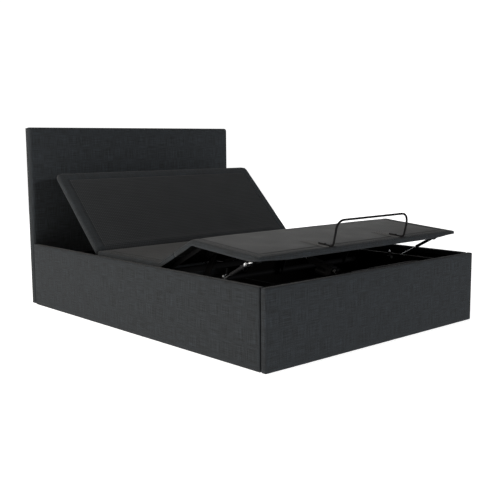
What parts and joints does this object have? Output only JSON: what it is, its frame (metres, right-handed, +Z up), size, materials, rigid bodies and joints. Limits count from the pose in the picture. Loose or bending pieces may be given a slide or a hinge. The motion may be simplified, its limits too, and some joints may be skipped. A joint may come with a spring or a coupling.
{
  "type": "adjustable bed base",
  "caption": "Upholstered bed surround with a headboard around a motorised steel base whose padded deck lifts at the back and knees, with a mattress retainer bar at the foot.",
  "frame": {"origin": "centre of the bed's outline at floor level", "axes": "+Z up, +Y towards the headboard, +X to the right as seen from the foot"},
  "size_m": [1.63, 2.21, 1.125],
  "materials": {
    "linen_fabric": "charcoal linen-look weave with slubs",
    "deck_fabric": "smooth anti-slip mesh cloth",
    "board": "raw particle board and plywood",
    "black_steel": "satin black powder coat",
    "bright_steel": "zinc-plated and ground steel",
    "black_plastic": "fine-grained moulded plastic",
    "nylon": "black nylon"
  },
  "bodies": {
    "frame": {"headboard_core": "board", "headboard_cover": "linen_fabric", "foot_panel_core": "board", "foot_panel_cover": "linen_fabric", "side_rail_core_left": "board", "side_rail_cover_left": "linen_fabric", "foot_corner_bracket_left": "black_steel", "head_corner_bracket_left": "black_steel", "frame_tube_left": "black_steel", "foot_end_leg_left": "black_steel", "head_end_leg_left": "black_steel", "side_rail_core_right": "board", "side_rail_cover_right": "linen_fabric", "foot_corner_bracket_right": "black_steel", "head_corner_bracket_right": "black_steel", "frame_tube_right": "black_steel", "foot_end_leg_right": "black_steel", "head_end_leg_right": "black_steel", "foot_cross_tube": "black_steel", "middle_cross_tube": "black_steel", "head_cross_tube": "black_steel", "seat_board": "board", "seat_pad": "deck_fabric", "seat_support_left": "black_steel", "seat_support_right": "black_steel", "leg_actuator_mount": "black_steel", "head_actuator_mount": "black_steel", "control_box": "black_plastic"},
    "head_section": {"head_board": "board", "head_pad": "deck_fabric", "head_arm_left": "black_steel", "head_arm_right": "black_steel", "head_lift_beam": "black_steel"},
    "thigh_section": {"thigh_board": "board", "thigh_pad": "deck_fabric", "thigh_arm_left": "black_steel", "thigh_arm_right": "black_steel", "thigh_track_left": "black_steel", "thigh_track_right": "black_steel"},
    "leg_section": {"leg_board": "board", "leg_pad": "deck_fabric", "leg_arm_left": "black_steel", "leg_arm_right": "black_steel", "retainer_bar": "black_steel", "retainer_socket_left": "black_plastic", "retainer_socket_right": "black_plastic"},
    "leg_lift": {"lift_tube": "black_steel", "lift_arm_left": "black_steel", "lift_arm_right": "black_steel", "lift_glide_left": "nylon", "lift_glide_right": "nylon"},
    "leg_motor": {"leg_actuator_housing": "black_plastic"},
    "leg_motor_rod": {"leg_actuator_rod": "bright_steel"},
    "head_motor": {"head_actuator_housing": "black_plastic"},
    "head_motor_rod": {"head_actuator_rod": "bright_steel"},
    "strut_rod_body_left": {"strut_rod_left": "bright_steel"},
    "strut_cylinder_body_left": {"strut_cylinder_left": "black_steel"},
    "strut_rod_body_right": {"strut_rod_right": "bright_steel"},
    "strut_cylinder_body_right": {"strut_cylinder_right": "black_steel"}
  },
  "joints": [
    {"name": "head_lift", "type": "hinge", "parent": "frame", "child": "head_section", "pos_m": [0, 0.363, 0.388], "axis": [1, 0, 0], "range_deg": [-44.45, 15.55]},
    {"name": "thigh_lift", "type": "hinge", "parent": "frame", "child": "thigh_section", "pos_m": [0, -0.248, 0.388], "axis": [-1, 0, 0], "range_deg": [-27.2, 7.8]},
    {"name": "knee_fold", "type": "hinge", "parent": "thigh_section", "child": "leg_section", "pos_m": [0, -0.52372, 0.5297], "axis": [1, 0, 0], "range_deg": [-32.3, 9.71]},
    {"name": "leg_lift_turn", "type": "hinge", "parent": "frame", "child": "leg_lift", "pos_m": [0, -0.343, 0.29], "axis": [-1, 0, 0], "range_deg": [-37.73, 11.35]},
    {"name": "leg_motor_tilt", "type": "hinge", "parent": "frame", "child": "leg_motor", "pos_m": [0, -0.795, 0.342], "axis": [1, 0, 0], "range_deg": [-7.77, 2.34]},
    {"name": "leg_motor_extend", "type": "slide", "parent": "leg_motor", "child": "leg_motor_rod", "axis": [0, 0.9772, 0.2125], "range_m": [-0.0807, 0.0235]},
    {"name": "head_motor_tilt", "type": "hinge", "parent": "frame", "child": "head_motor", "pos_m": [0, -0.06, 0.268], "axis": [1, 0, 0], "range_deg": [-0.38, 1.04]},
    {"name": "head_motor_extend", "type": "slide", "parent": "head_motor", "child": "head_motor_rod", "axis": [0, 1, 0.0084], "range_m": [-0.0936, 0.0331]},
    {"name": "strut_tilt_left", "type": "hinge", "parent": "frame", "child": "strut_rod_body_left", "pos_m": [-0.731, -0.65, 0.335], "axis": [-1, 0, 0], "range_deg": [-24.58, 7.39]},
    {"name": "strut_slide_left", "type": "slide", "parent": "strut_rod_body_left", "child": "strut_cylinder_body_left", "axis": [0, -0.8786, 0.4776], "range_m": [-0.0022, 0.0065]},
    {"name": "strut_tilt_right", "type": "hinge", "parent": "frame", "child": "strut_rod_body_right", "pos_m": [0.731, -0.65, 0.335], "axis": [-1, 0, 0], "range_deg": [-24.58, 7.39]},
    {"name": "strut_slide_right", "type": "slide", "parent": "strut_rod_body_right", "child": "strut_cylinder_body_right", "axis": [0, -0.8786, 0.4776], "range_m": [-0.0022, 0.0065]}
  ],
  "couplings": [
    {"joint": "knee_fold", "follows": "thigh_lift", "ratio": 1.1643},
    {"joint": "leg_lift_turn", "follows": "thigh_lift", "ratio": 1.36},
    {"joint": "leg_motor_tilt", "follows": "thigh_lift", "ratio": 0.28},
    {"joint": "leg_motor_extend", "follows": "thigh_lift", "m_per_rad": 0.16902},
    {"joint": "head_motor_tilt", "follows": "head_lift", "ratio": -0.023},
    {"joint": "head_motor_extend", "follows": "head_lift", "m_per_rad": 0.11998},
    {"joint": "strut_tilt_left", "follows": "thigh_lift", "ratio": 0.886},
    {"joint": "strut_slide_left", "follows": "thigh_lift", "m_per_rad": -0.01261},
    {"joint": "strut_tilt_right", "follows": "thigh_lift", "ratio": 0.886},
    {"joint": "strut_slide_right", "follows": "thigh_lift", "m_per_rad": -0.01261}
  ]
}
